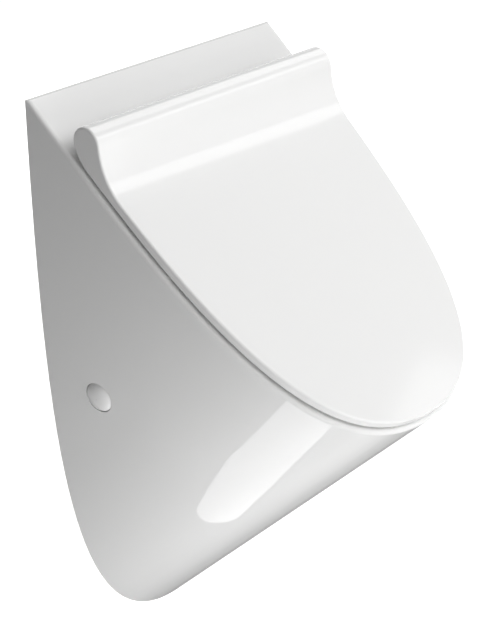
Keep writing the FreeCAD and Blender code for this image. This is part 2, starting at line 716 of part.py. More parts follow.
def lid_body():
    hollows = [lid_recess()]
    for side, sign in SIDES:
        hollows += hinge_spaces(side, sign)
    for label, distance, spacing in BUFFERS:
        for number, place in enumerate(buffer_places(distance, spacing, size("lid_gap"))):
            hollows.append(cylinder(f"{label}_hole_{number}", "buffer_stem", "buffer_stem_depth", place))
    return sub_part(cut("lid_cut", lid_blank(), *hollows), "lid", slope_frame())


def buffers(label, distance, spacing):
    """Two rubber buffers, their stems in the lid."""
    pair = []
    for number, place in enumerate(buffer_places(distance, spacing, size("buffer_clearance"))):
        head = cylinder(f"{label}_head_{number}", "buffer_radius", "lid_gap - buffer_clearance", place)
        stem = cylinder(f"{label}_stem_{number}", "buffer_stem",
                        "lid_gap - buffer_clearance + buffer_stem_depth", place)
        pair.append(fused(f"{label}_{number}", head, stem))
    return sub_part(fused(label, *pair), label, slope_frame())


# ---- hinges and dampers ----------------------------------------------------

def hinge_arm(side, sign):
    """Foot on the ledge, leaning arm and eye round the shaft."""
    to_slope = slope_frame().inverse()
    axis = to_slope * hinge_axis_frame(sign)
    foot = to_slope * hinge_frame(sign, size("hinge_base_distance"), size("hinge_gasket"))
    half = size("hinge_arm_width") / 2
    length, lean = hinge_arm_line()
    plate = cylinder(f"hinge_foot_{side}", "hinge_base_radius", "hinge_base_height", foot)
    eye = cylinder(f"hinge_eye_{side}", "hinge_eye", "hinge_arm_width", across(axis, 1, -half))
    start = Placement(Vector(-half, -size("hinge_arm_thickness") / 2, 0), Rotation())
    arm = box(f"hinge_web_{side}", "hinge_arm_width", "hinge_arm_thickness", str(length),
              axis * Placement(Vector(), Rotation(X_AXIS, 90 + lean)) * start)
    solid = fused(f"hinge_solid_{side}", plate, eye, arm)
    bolt_way = cylinder(f"hinge_foot_hole_{side}", "hinge_bolt + running_gap", "2 * hinge_base_height",
                        below(foot, OVERCUT))
    sink_depth = size("hinge_bolt_head") - size("hinge_bolt")
    foot_top = above(foot, size("hinge_base_height"))
    sink = cone(f"hinge_foot_sink_{side}", "hinge_bolt + running_gap", "hinge_bolt_head + running_gap",
                "hinge_bolt_head - hinge_bolt", below(foot_top, sink_depth))
    driver_way = cylinder(f"hinge_driver_way_{side}", "hinge_bolt_head + running_gap", "ridge_height",
                          foot_top)
    under = cylinder(f"hinge_foot_under_{side}", "2 * hinge_base_radius", "ridge_height",
                     below(foot, size("ridge_height")))
    shaft_way = cylinder(f"hinge_eye_bore_{side}", "hinge_shaft + running_gap", "hinge_slot",
                         across(axis, 1, -size("hinge_slot") / 2))
    bored = cut(f"hinge_arm_cut_{side}", solid, bolt_way, sink, driver_way, under, shaft_way)
    return sub_part(bored, f"hinge_arm_{side}", slope_frame())


def bored_hexagon(label, radius, height, bore, place):
    """A plain hexagon nut."""
    nut = hexagon(f"{label}_form", radius, height, Placement())
    way = cylinder(f"{label}_bore", bore, f"2 * {height}", Placement(Vector(0, 0, -OVERCUT), Rotation()))
    return sub_part(cut(f"{label}_cut", nut, way), label, place)


def hinge_parts(side, sign):
    hinge_arm(side, sign)
    foot = size("hinge_base_distance")
    ledge = hinge_frame(sign, foot)
    turned(f"hinge_shaft_{side}", [("0", "0"), ("hinge_shaft", "0"), ("hinge_shaft", "hinge_shaft_length"),
                                   ("0", "hinge_shaft_length")],
           across(hinge_axis_frame(sign), -sign, -size("hinge_shaft_outer")))
    turned(f"lid_damper_{side}",
           [("hinge_shaft + running_gap", "0"), ("damper_radius", "0"), ("damper_radius", "damper_length"),
            ("0", "damper_length"), ("0", "damper_length - damper_radius + hinge_shaft"),
            ("hinge_shaft + running_gap", "damper_length - damper_radius + hinge_shaft")],
           across(hinge_axis_frame(sign), -sign, size("hinge_slot") / 2))
    seal_ring(f"hinge_gasket_{side}", "hinge_bolt + running_gap", "hinge_base_radius", "hinge_gasket", ledge)
    head_top = size("hinge_gasket") + size("hinge_base_height")
    turned(f"hinge_bolt_{side}",
           [("0", "0"), ("hinge_bolt", "0"),
            ("hinge_bolt", "hinge_bolt_length - hinge_bolt_head + hinge_bolt"),
            ("hinge_bolt_head", "hinge_bolt_length"), ("0", "hinge_bolt_length")],
           hinge_frame(sign, foot, head_top - size("hinge_bolt_length")))
    flare_bottom = -size("rim_thickness") - size("plug_flare_height")
    turned(f"hinge_plug_{side}",
           [("hinge_bolt + running_gap", "0"), ("plug_flare", "0"), ("plug_flare", "plug_flare_height"),
            ("hinge_hole - running_gap", "plug_flare_height"),
            ("hinge_hole - running_gap", "plug_flare_height + rim_thickness"),
            ("hinge_bolt + running_gap", "plug_flare_height + rim_thickness")],
           hinge_frame(sign, foot, flare_bottom))
    bored_hexagon(f"hinge_nut_{side}", "plug_flare", "hinge_nut_height", "hinge_bolt + running_gap",
                  hinge_frame(sign, foot, flare_bottom - size("hinge_nut_height")))


# ---- side fixings ----------------------------------------------------------

def wall_bracket(side, sign):
    """Angle bracket: foot on the wall, arm along the inside of the ceramic."""
    half = size("bracket_height") / 2
    arm_plane = side_fixing_frame(sign, size("bracket_offset"))
    arm_start = Placement(Vector(-half, size("side_fixing_distance") - size("bracket_arm"), 0), Rotation())
    arm = box(f"bracket_arm_{side}", "bracket_height", "2 * bracket_arm", "bracket_thickness",
              arm_plane * arm_start)
    inner_end = size("wall_hole_spacing") / 2 - size("bracket_foot_inside")
    foot_start = inner_end if sign > 0 else -inner_end - size("body_width") / 2
    foot = box(f"bracket_foot_{side}", "body_width / 2", "bracket_thickness", "bracket_height",
               Placement(Vector(foot_start, -size("bracket_thickness"), -half), Rotation()))
    width = size("body_width")
    outside = box(f"bracket_outside_{side}", "body_width", "body_width", "body_width",
                  arm_plane * Placement(Vector(-width / 2, -width / 2, -width), Rotation()))
    in_wall = box(f"bracket_in_wall_{side}", "body_width", "body_width", "body_width",
                  Placement(Vector(-width / 2, 0, -width / 2), Rotation()))
    hole_point = Vector(sign * size("wall_hole_spacing") / 2, OVERCUT, 0)
    wall_hole = cylinder(f"bracket_hole_{side}", "bracket_hole", "2 * bracket_thickness",
                         Placement(hole_point, Rotation(X_AXIS, 90)))
    screw_hole = cylinder(f"bracket_screw_hole_{side}", "side_screw + running_gap", "2 * bracket_thickness",
                          below(arm_plane, OVERCUT))
    bent = fused(f"bracket_solid_{side}", arm, foot)
    return sub_part(cut(f"bracket_cut_{side}", bent, outside, in_wall, wall_hole, screw_hole),
                    f"wall_bracket_{side}")


def side_cap(side, sign):
    """Domed cover cap with a clip ring round the bush."""
    outward = side_fixing_frame(sign, size("side_recess_depth")) * Placement(Vector(), Rotation(X_AXIS, 180))
    plate_height = size("side_recess_depth") + size("cap_proud") - size("cap_rim")
    plate = dome(f"cap_plate_{side}", "cap_radius", "cap_dome", "cap_rim", upward(plate_height))
    ring_height = "side_recess_depth + cap_proud - cap_rim"
    ring = cylinder(f"cap_ring_{side}", "bush_flange + seat_gap + cap_clip", ring_height,
                    upward(size("seat_gap")))
    ring_way = cylinder(f"cap_ring_way_{side}", "bush_flange + seat_gap", ring_height)
    clip = cut(f"cap_clip_{side}", ring, ring_way)
    return sub_part(fused(f"cap_{side}", plate, clip), f"side_cap_{side}", outward)


def side_fixing(side, sign):
    wall_bracket(side, sign)
    side_cap(side, sign)
    recess = size("side_recess_depth")
    turned(f"side_bush_{side}",
           [("side_screw + running_gap", "0"), ("bush_flange", "0"), ("bush_flange", "bush_flange_height"),
            ("side_hole - seat_gap", "bush_flange_height"),
            ("side_hole - seat_gap", "bush_flange_height + bush_sleeve_length"),
            ("side_screw + running_gap", "bush_flange_height + bush_sleeve_length")],
           side_fixing_frame(sign, recess - size("bush_flange_height")))
    turned(f"side_screw_{side}",
           [("0", "0"), ("side_screw_head", "0"), ("side_screw_head", "side_screw_head_height"),
            ("side_screw", "side_screw_head_height"), ("side_screw", "side_screw_length"),
            ("0", "side_screw_length")],
           side_fixing_frame(sign, recess - size("bush_flange_height") - size("side_screw_head_height")))
    bored_hexagon(f"fixing_nut_{side}", "bracket_nut", "bracket_nut_height", "side_screw + running_gap",
                  side_fixing_frame(sign, size("bracket_offset") + size("bracket_thickness")))


# ---- water inlet -----------------------------------------------------------

def inlet_parts():
    beyond = size("inlet_thread_length")
    turned("inlet_pipe",
           [("inlet_bore", "0"), ("inlet_thread", "0"), ("inlet_thread", "inlet_thread_length"),
            ("inlet_collar", "inlet_thread_length"),
            ("inlet_collar", "inlet_thread_length + inlet_collar_length"),
            ("inlet_pipe", "inlet_thread_length + inlet_collar_length"),
            ("inlet_pipe", "inlet_thread_length + inlet_pipe_end"),
            ("inlet_bore", "inlet_thread_length + inlet_pipe_end")], inlet_frame(-beyond))
    seal_ring("inlet_seal", "inlet_pipe + running_gap", "inlet_hole - seat_gap", "inlet_seal_width",
              inlet_frame(size("spreader_tail_end") - size("inlet_seal_width")))
    boss_rear = size("inlet_boss_distance")
    seal_ring("inlet_gasket", "inlet_hole", "inlet_nut - inlet_gasket", "inlet_gasket",
              inlet_frame(boss_rear - size("inlet_gasket")))
    bored_hexagon("inlet_nut", "inlet_nut", "inlet_nut_height", "inlet_hole",
                  inlet_frame(boss_rear - size("inlet_gasket") - size("inlet_nut_height")))
    water_spreader()


def water_spreader():
    """Threaded tail through the bowl's back wall, flange and hood with jets on its lower half."""
    tail_length = "(inlet_seat_distance - spreader_tail_end)"
    seat = size("inlet_seat_distance") - size("spreader_tail_end")
    tail = cylinder("spreader_tail", "inlet_hole - seat_gap", tail_length + " + spreader_flange_height")
    flange = cylinder("spreader_flange_form", "spreader_flange", "spreader_flange_height", upward(seat))
    hood_start = seat + size("spreader_flange_height")
    hood = cone("spreader_hood_form", "spreader_hood", "spreader_hood - spreader_wall",
                "spreader_hood_height", upward(hood_start))
    bore = cylinder("spreader_bore", "inlet_pipe + running_gap",
                    tail_length + " + spreader_flange_height + spreader_hood_height - spreader_wall")
    chamber = cylinder("spreader_chamber", "spreader_hood - 2 * spreader_wall",
                       "spreader_hood_height - 2 * spreader_wall", upward(hood_start + size("spreader_wall")))
    middle = hood_start + size("spreader_hood_height") / 2
    jets = [cylinder(f"spreader_jet_{number}", "spreader_jet", "2 * spreader_hood",
                     Placement(Vector(0, 0, middle), Rotation(Z_AXIS, angle) * Rotation(X_AXIS, 90)))
            for number, angle in enumerate(JET_ANGLES)]
    solid = fused("spreader_solid", tail, flange, hood)
    return sub_part(cut("spreader_cut", solid, bore, chamber, *jets), "water_spreader",
                    inlet_frame(size("spreader_tail_end")))


# ---- waste and trap --------------------------------------------------------

def strainer():
    """Domed round strainer with two rings of holes."""
    through = "2 * strainer_thickness + strainer_dome"
    holes = [cylinder("strainer_middle", "strainer_screw + running_gap", through, upward(-OVERCUT))]
    for ring in STRAINER_RINGS:
        count = round(2 * math.pi * size(ring) / size("strainer_pitch"))
        for number in range(count):
            turn = Rotation(Z_AXIS, 360 * number / count)
            place = Placement(turn.multVec(Vector(size(ring), 0, -OVERCUT)), Rotation())
            holes.append(cylinder(f"{ring}_hole_{number}", "strainer_hole", through, place))
    domed = dome("strainer_form", "strainer_radius", "strainer_dome", "strainer_thickness")
    seat = size("drain_gasket") + size("waste_flange_height")
    return sub_part(cut("strainer_cut", domed, *holes), "strainer", drain_frame(seat))


def waste_fitting():
    """Flange in the bowl, tube through the drain hole and a bar that takes the strainer's screw."""
    top = "waste_tube_reach + drain_gasket + waste_flange_height"
    tube = cylinder("waste_tube_form", "waste_tube", top)
    flange = cylinder("waste_flange_form", "waste_flange", "waste_flange_height",
                      upward(size("waste_tube_reach") + size("drain_gasket")))
    bore = cylinder("waste_bore", "waste_tube - waste_tube_wall", top + " + 2 * waste_tube_wall",
                    upward(-size("waste_tube_wall")))
    bar_height = size("waste_tube_reach") - size("waste_bar_depth")
    half = size("waste_tube") - size("waste_tube_wall") / 2
    bar = box("waste_bar_form", "2 * waste_tube - waste_tube_wall", "waste_bar", "waste_bar_height",
              Placement(Vector(-half, -size("waste_bar") / 2, bar_height), Rotation()))
    screw_way = cylinder("waste_bar_hole", "strainer_screw + running_gap", "2 * waste_bar_height",
                         upward(bar_height - OVERCUT))
    hollow = cut("waste_hollow", fused("waste_solid", tube, flange), bore)
    whole = cut("waste_cut", fused("waste_with_bar", hollow, bar), screw_way)
    return sub_part(whole, "waste_fitting", drain_frame(-size("waste_tube_reach")))


def trap_body():
    """Round cup with a neck for the waste tube and a socket towards the wall."""
    shoulder = "trap_bottom - trap_shoulder"
    neck_top = "trap_bottom - trap_neck_top"
    cup = revolved("trap_cup", [("0", "0"), ("trap_radius - trap_bevel", "0"), ("trap_radius", "trap_bevel"),
                                ("trap_radius", shoulder), ("trap_neck", shoulder), ("trap_neck", neck_top),
                                ("0", neck_top)])
    outlet_height = size("trap_bottom") - size("outlet_drop")
    towards_wall = Placement(Vector(0, 0, outlet_height), Rotation(X_AXIS, -90))
    socket = cylinder("trap_socket", "outlet_socket", "sump_distance - outlet_socket_end", towards_wall)
    inside = revolved("trap_inside", [("0", "trap_wall"), ("trap_radius - trap_bevel", "trap_wall"),
                                      ("trap_radius - trap_wall", "trap_bevel"),
                                      ("trap_radius - trap_wall", shoulder + " - trap_wall"),
                                      ("waste_tube + running_gap", shoulder + " - trap_wall"),
                                      ("waste_tube + running_gap", "trap_bottom"), ("0", "trap_bottom")])
    pipe_bore = cylinder("trap_pipe_bore", "outlet_pipe - outlet_pipe_wall", "sump_distance", towards_wall)
    socket_depth = size("sump_distance") - size("outlet_socket_end") - size("outlet_socket_depth")
    pipe_seat = cylinder("trap_pipe_seat", "outlet_pipe + running_gap", "sump_distance",
                         above(towards_wall, socket_depth))
    solid = fused("trap_solid", cup, socket)
    return sub_part(cut("trap_cut", solid, inside, pipe_bore, pipe_seat), "trap_body",
                    drain_frame(-size("trap_bottom")))


def union_nut(label, tube, neck, place):
    """Union nut with an inner lip over the end of its neck."""
    skirt = "trap_nut_skirt"
    whole = "trap_nut_skirt + trap_nut_lip"
    turned(label,
           [(neck + " + seat_gap", "0"), ("trap_nut", "0"), ("trap_nut", whole),
            (tube + " + running_gap", whole), (tube + " + running_gap", skirt),
            (neck + " + seat_gap", skirt)], place)


def drain_parts():
    """What clamps the waste fitting to the sump, from the strainer's screw down to the nut."""
    strainer()
    waste_fitting()
    flange_top = size("drain_gasket") + size("waste_flange_height")
    head = flange_top + size("strainer_thickness") + size("strainer_dome")
    turned("strainer_screw",
           [("0", "0"), ("strainer_screw", "0"), ("strainer_screw", "strainer_screw_length"),
            ("strainer_screw_head", "strainer_screw_length"),
            ("strainer_screw_head", "strainer_screw_length + strainer_screw_head_height"),
            ("0", "strainer_screw_length + strainer_screw_head_height")],
           drain_frame(head - size("strainer_screw_length")))
    seal_ring("drain_gasket", "drain_hole", "waste_flange", "drain_gasket", drain_frame())
    gasket_bottom = size("drain_boss_depth") + size("lower_gasket")
    seal_ring("lower_gasket", "drain_hole", "waste_nut", "lower_gasket", drain_frame(-gasket_bottom))
    seal_ring("waste_nut", "waste_tube + running_gap", "waste_nut", "waste_nut_height",
              drain_frame(-gasket_bottom - size("waste_nut_height")))


def trap_parts():
    """Bottle trap on the waste tube, with its dip tube, and the pipe to the wall's drain."""
    trap_body()
    neck_top = drain_frame(-size("trap_neck_top"))
    nut_start = size("trap_nut_skirt") - size("trap_seal")
    seal_ring("trap_seal", "waste_tube + running_gap", "trap_neck", "trap_seal", neck_top)
    union_nut("trap_nut", "waste_tube", "trap_neck", below(neck_top, nut_start))
    seal_ring("dip_tube", "waste_tube - waste_tube_wall - seat_gap - dip_tube_wall",
              "waste_tube - waste_tube_wall - seat_gap", "dip_tube_bottom - dip_tube_top",
              drain_frame(-size("dip_tube_bottom")))
    to_wall = drain_frame(-size("outlet_drop")) * Placement(Vector(), Rotation(X_AXIS, -90))
    socket_end = above(to_wall, size("sump_distance") - size("outlet_socket_end"))
    bore = "outlet_pipe - outlet_pipe_wall"
    bead_start = "outlet_socket_depth + trap_seal + trap_nut_lip + outlet_bead_gap"
    bead_end = bead_start + " + outlet_bead_width"
    pipe_length = "outlet_socket_depth + outlet_socket_end + outlet_beyond"
    turned("outlet_pipe",
           [(bore, "0"), ("outlet_pipe", "0"), ("outlet_pipe", bead_start), ("outlet_bead", bead_start),
            ("outlet_bead", bead_end), ("outlet_pipe", bead_end), ("outlet_pipe", pipe_length),
            (bore, pipe_length)],
           below(socket_end, size("outlet_socket_depth")))
    seal_ring("outlet_seal", "outlet_pipe + running_gap", "outlet_socket", "trap_seal", socket_end)
    union_nut("outlet_nut", "outlet_pipe", "outlet_socket", below(socket_end, nut_start))


def check_everything():
    """Stop before writing anything if a feature failed or a piece has no sound shape."""
    for feature in document.Objects:
        if "Invalid" in feature.State or "Error" in feature.State:
            raise RuntimeError(f"{feature.Label} failed: {feature.getStatusString()}")
    for part in SUB_PARTS:
        if part.Shape.isNull() or not part.Shape.isValid():
            raise RuntimeError(f"{part.Label} has no sound shape")


ceramic_body()
lid_body()
for label, distance, spacing in BUFFERS:
    buffers(label, distance, spacing)
for side, sign in SIDES:
    hinge_parts(side, sign)
    side_fixing(side, sign)
inlet_parts()
drain_parts()
trap_parts()
document.recompute()
check_everything()

os.makedirs("parts", exist_ok=True)
for part in SUB_PARTS:
    part.Shape.exportStep(os.path.join("parts", part.Label + ".step"))
    print(f"{part.Label}: {len(part.Shape.Solids)} solids, {part.Shape.Volume / 1000:.2f} cm3")
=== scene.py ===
import math

import bpy
from mathutils import Matrix, Vector


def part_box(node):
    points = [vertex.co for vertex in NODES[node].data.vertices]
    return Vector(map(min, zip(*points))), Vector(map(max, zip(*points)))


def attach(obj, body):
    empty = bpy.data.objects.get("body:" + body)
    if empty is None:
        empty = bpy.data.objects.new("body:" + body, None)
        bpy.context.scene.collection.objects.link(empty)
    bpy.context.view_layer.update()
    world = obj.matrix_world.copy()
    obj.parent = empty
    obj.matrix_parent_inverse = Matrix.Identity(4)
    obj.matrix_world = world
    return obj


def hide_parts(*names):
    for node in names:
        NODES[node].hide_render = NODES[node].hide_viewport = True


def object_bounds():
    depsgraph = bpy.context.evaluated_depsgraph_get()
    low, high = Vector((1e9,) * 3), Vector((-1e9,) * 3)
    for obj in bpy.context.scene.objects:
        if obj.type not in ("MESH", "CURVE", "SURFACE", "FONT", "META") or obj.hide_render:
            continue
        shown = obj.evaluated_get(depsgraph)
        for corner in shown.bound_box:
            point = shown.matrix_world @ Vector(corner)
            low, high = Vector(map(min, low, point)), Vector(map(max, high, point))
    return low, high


# Wall-hung urinal with a hinged lid. Metres and degrees, in the CAD's frame: the wall is the plane
# y = 0, the bowl lies towards -Y, and +Z is up.

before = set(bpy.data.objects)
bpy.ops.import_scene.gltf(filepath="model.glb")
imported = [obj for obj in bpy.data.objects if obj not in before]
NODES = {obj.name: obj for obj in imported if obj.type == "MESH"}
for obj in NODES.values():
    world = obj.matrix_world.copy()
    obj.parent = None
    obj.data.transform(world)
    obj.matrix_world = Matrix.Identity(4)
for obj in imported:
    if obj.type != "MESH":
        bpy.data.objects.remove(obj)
cad_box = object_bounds()
SCENE = bpy.context.scene
SCENE.view_settings.view_transform = "Standard"

CAMERA = {"azimuth": 46.0, "elevation": 25.035, "roll": -0.889, "distance": 1.9745,
          "target": (0, -0.15, -0.015), "across": 0.02647, "up": -0.07003, "lens": 150.95, "sensor": 36}

WORLD_STRENGTH = 0.12
FLOOR = {"below": 0.33, "half": 6, "plain": 0.25, "shaded": 0.3, "glow": 0.96}
# The card laid below is painted shade. It glows though it is no lamp, only reflections see it, and its
# grey end paints darker reflections along the bowl's lower edge.
CARD = {"place": (0.543, 0.523), "lift": 0.001, "turn": -44, "low": (-0.8, -1.0), "high": (0.5, 0.35),
        "fade_from": -0.86, "fade_to": -0.48, "white": 1.0, "grey": 0.35}

# Lamps that light the object and aren't mirrored in it, all aimed at one point.
LIT_POINT = (0, -0.15, 0)
LAMPS = {
    "key": {"size": (2.0, 2.0), "power": 48, "place": (1.608, -2.666, 1.817)},
    "overhead": {"size": (3.0, 3.0), "power": 57, "place": (0.876, -1.903, 2.910)},
    "front_fill": {"size": (1.6, 1.0), "power": 16, "place": (-0.3, -3.0, 0.1)},
    "side_fill": {"size": (0.8, 0.5), "power": 2.5, "place": (-1.2, -1.2, -0.3)},
    "low_fill": {"size": (0.6, 0.35), "power": 2.7, "place": (-0.5, -0.75, -0.45)},
    "under_fill": {"size": (0.6, 0.5), "power": 0.8, "place": (-0.25, -0.5, -0.6)},
    "back_fill": {"size": (2.0, 1.5), "power": 65, "place": (1.2, 2.6, 0.6)},
}
# Panels that are mirrored in the object and don't light it.
AIMED_PANELS = {
    "strip": {"size": (3.45, 0.9), "power": 17, "place": (1.851, -2.880, 2.419),
              "aim": (-0.198, -0.293, 0.159)},
    "ridge_panel": {"size": (2.0, 1.6), "power": 24, "place": (1.96, 0.56, 2.46), "aim": (0, -0.07, 0.28)},
}
LOW_PANEL = {"size": (0.3451, 0.3857), "power": 0.66, "place": (-0.2328, -0.1494, -0.5),
             "turns": (("Z", 0.9163), ("Y", 0.8), ("X", -0.5473))}      # radians, outermost first

# The ceramic's bare back: faces behind this plane.
BARE = {"behind_y": -0.0004, "colour": (0.66, 0.63, 0.57), "roughness": 0.8}

# Places of the fixings, as in the CAD.
SIDE_FIXING = {"half": 0.144, "distance": 0.064, "yaw": 6.3, "dip": 7.5}
SLOPE = {"angle": 38.7, "top_land": 0.004, "hinge_half": 0.1, "hinge_foot": 0.1, "bolt_top": 0.0068}
INLET = {"behind_wall": 0.014, "height": 0.14}

POLE = 0.00002          # radius at which a turned piece ends on its axis
SHARP_EDGE = 35         # edges of turned pieces that bend more than this stay sharp
TURNED_SIDES = 48
ROWS_PER_TURN = 8       # rings of points along one pitch of a thread
CAP = {"radius": 0.0152, "sunk": 0.0003, "rise": 0.0062, "fullness": 0.9, "wall": 0.0015,
       "skirt": 0.0045, "recess": 0.0004, "rings": 24, "sides": 72}
RIBS = {"count": 30, "proud": 0.0009, "sharpness": 0.6, "margin": 0.0012, "sunk": 0.0006,
        "shoulder": 0.0002, "steps": 12}
SIDE_SCREW = {"head": 0.0065, "head_bevel": 0.0003, "head_height": 0.003, "shank": 0.004, "tip": 0.0034,
              "length": 0.034, "under_surface": 0.001}
SIDE_THREAD = {"start": 0.006, "end": 0.033, "pitch": 0.00125, "depth": 0.0006}
HINGE_BOLT = {"tip": 0.0025, "shank": 0.003, "cone_start": 0.0415, "head": 0.0053, "cone_end": 0.0438,
              "length": 0.044, "socket": 0.002}
BOLT_THREAD = {"start": 0.0006, "end": 0.034, "pitch": 0.001, "depth": 0.0005}
PIPE = {"bore": 0.006, "thread": 0.01048, "root": 0.0098, "collar": 0.015, "collar_start": 0.014,
        "collar_end": 0.022, "collar_bevel": 0.0003, "tail": 0.009, "length": 0.07}
PIPE_THREAD = {"start": 0.0008, "end": 0.013, "pitch": 0.001814, "depth": 0.00105}


# ---- camera, floor and light -------------------------------------------------

def place_camera():
    azimuth, elevation, roll = (math.radians(CAMERA[key]) for key in ("azimuth", "elevation", "roll"))
    back = Vector((-math.sin(azimuth) * math.cos(elevation), -math.cos(azimuth) * math.cos(elevation),
                   math.sin(elevation)))
    level = Vector((math.cos(azimuth), -math.sin(azimuth), 0))
    upright = back.cross(level)
    right = level * math.cos(roll) + upright * math.sin(roll)
    up = upright * math.cos(roll) - level * math.sin(roll)
    centre = (Vector(CAMERA["target"]) + back * CAMERA["distance"]
              - right * CAMERA["across"] - up * CAMERA["up"])
    camera = bpy.data.objects.new("camera", bpy.data.cameras.new("camera"))
    camera.data.sensor_fit = "HORIZONTAL"
    camera.data.sensor_width = CAMERA["sensor"]
    camera.data.lens = CAMERA["lens"]
    camera.matrix_world = Matrix.Translation(centre) @ Matrix((right, up, back)).transposed().to_4x4()
    SCENE.collection.objects.link(camera)
    SCENE.camera = camera


def soft_box(name, size, power, place, turn, mirrored):
    """A rectangular lamp that the camera doesn't see, either for light or for reflections."""
    data = bpy.data.lights.new(name, "AREA")
    data.shape = "RECTANGLE"
    data.size, data.size_y = size
    data.energy = power
    lamp = bpy.data.objects.new(name, data)
    lamp.location = place
    lamp.rotation_euler = turn
    lamp.visible_camera = False
    lamp.visible_diffuse = not mirrored
    lamp.visible_glossy = mirrored
    SCENE.collection.objects.link(lamp)


def aimed(place, aim):
    return (Vector(aim) - Vector(place)).to_track_quat("-Z", "Y").to_euler()


def empty_tree(block):
    block.use_nodes = True
    block.node_tree.nodes.clear()
    return block.node_tree


def split_by_ray(tree, indirect, direct, output):
    """Use the direct shader for what the camera, a reflection or glass sees, else the indirect one."""
    path = tree.nodes.new("ShaderNodeLightPath")
    seen = path.outputs["Is Camera Ray"]
    for ray in ("Is Glossy Ray", "Is Transmission Ray"):
        either = tree.nodes.new("ShaderNodeMath")
        either.operation = "MAXIMUM"
        tree.links.new(seen, either.inputs[0])
        tree.links.new(path.outputs[ray], either.inputs[1])
        seen = either.outputs[0]
    mix = tree.nodes.new("ShaderNodeMixShader")
    tree.links.new(seen, mix.inputs[0])
    tree.links.new(indirect.outputs[0], mix.inputs[1])
    tree.links.new(direct.outputs[0], mix.inputs[2])
    tree.links.new(mix.outputs[0], output.inputs[0])


def set_world():
    SCENE.world = bpy.data.worlds.new("studio")
    tree = empty_tree(SCENE.world)
    soft, white = (tree.nodes.new("ShaderNodeBackground") for _ in range(2))
    for background, strength in ((soft, WORLD_STRENGTH), (white, 1)):
        background.inputs["Strength"].default_value = strength
        background.inputs["Color"].default_value = (1, 1, 1, 1)
    split_by_ray(tree, soft, white, tree.nodes.new("ShaderNodeOutputWorld"))


def stage_plate(name, low, high, place, turn=0.0):
    """A level rectangle that isn't part of the object, and the empty tree of its material."""
    mesh = bpy.data.meshes.new(name)
    mesh.from_pydata([(low[0], low[1], 0), (high[0], low[1], 0), (high[0], high[1], 0),
                      (low[0], high[1], 0)], [], [(0, 1, 2, 3)])
    plate = bpy.data.objects.new(name, mesh)
    plate.location = place
    plate.rotation_euler = (0, 0, turn)
    SCENE.collection.objects.link(plate)
    material = bpy.data.materials.new(f"{name}_finish")
    mesh.materials.append(material)
    return plate, empty_tree(material)


def lay_floor(height):
    half = FLOOR["half"]
    _, tree = stage_plate("floor", (-half, -half), (half, half), (0, 0, height))
    plain, shaded = (tree.nodes.new("ShaderNodeBsdfDiffuse") for _ in range(2))
    for surface, grey in ((plain, FLOOR["plain"]), (shaded, FLOOR["shaded"])):
        surface.inputs["Color"].default_value = (grey, grey, grey, 1)
    glow = tree.nodes.new("ShaderNodeEmission")
    glow.inputs["Strength"].default_value = FLOOR["glow"]
    both = tree.nodes.new("ShaderNodeAddShader")
    tree.links.new(shaded.outputs[0], both.inputs[0])
    tree.links.new(glow.outputs[0], both.inputs[1])
    split_by_ray(tree, plain, both, tree.nodes.new("ShaderNodeOutputMaterial"))


def lay_painted_shade_card(height):
    """A card on the floor that only reflections see, white at one edge and grey at the other: painted
    shade, a glowing sheet whose grey end darkens the reflections along the bowl's lower edge.
    """
    card, tree = stage_plate("painted_shade_card", CARD["low"], CARD["high"], (*CARD["place"], height),
                             math.radians(CARD["turn"]))
    for ray in ("camera", "diffuse", "shadow", "transmission"):
        setattr(card, f"visible_{ray}", False)
    where = tree.nodes.new("ShaderNodeTexCoord")
    axes = tree.nodes.new("ShaderNodeSeparateXYZ")
    shade = tree.nodes.new("ShaderNodeMapRange")
    shade.interpolation_type = "SMOOTHSTEP"
    for socket, key in (("From Min", "fade_from"), ("From Max", "fade_to"), ("To Min", "white"),
                        ("To Max", "grey")):
        shade.inputs[socket].default_value = CARD[key]
    # Painted shade: the card's glow fades from white to grey along its length.
    glow = tree.nodes.new("ShaderNodeEmission")
    tree.links.new(where.outputs["Object"], axes.inputs[0])
    tree.links.new(axes.outputs["Y"], shade.inputs["Value"])
    tree.links.new(shade.outputs[0], glow.inputs["Strength"])
    tree.links.new(glow.outputs[0], tree.nodes.new("ShaderNodeOutputMaterial").inputs[0])


def hang_lamps():
    for name, lamp in LAMPS.items():
        soft_box(name, lamp["size"], lamp["power"], lamp["place"], aimed(lamp["place"], LIT_POINT),
                 mirrored=False)
    for name, panel in AIMED_PANELS.items():
        soft_box(name, panel["size"], panel["power"], panel["place"],
                 aimed(panel["place"], panel["aim"]), mirrored=True)
    turn = Matrix.Identity(3)
    for axis, angle in (*LOW_PANEL["turns"], ("X", math.pi)):
        turn = turn @ Matrix.Rotation(angle, 3, axis)
    soft_box("low_panel", LOW_PANEL["size"], LOW_PANEL["power"], LOW_PANEL["place"], turn.to_euler(),
             mirrored=True)


# ---- materials ---------------------------------------------------------------

def link_noise(tree, scale, stretch):
    place = tree.nodes.new("ShaderNodeTexCoord")
    mapping = tree.nodes.new("ShaderNodeMapping")
    mapping.inputs["Scale"].default_value = stretch
    noise = tree.nodes.new("ShaderNodeTexNoise")
    noise.inputs["Scale"].default_value = scale
    noise.inputs["Detail"].default_value = 4
    tree.links.new(place.outputs["Object"], mapping.inputs["Vector"])
    tree.links.new(mapping.outputs[0], noise.inputs["Vector"])
    return noise.outputs["Fac"]


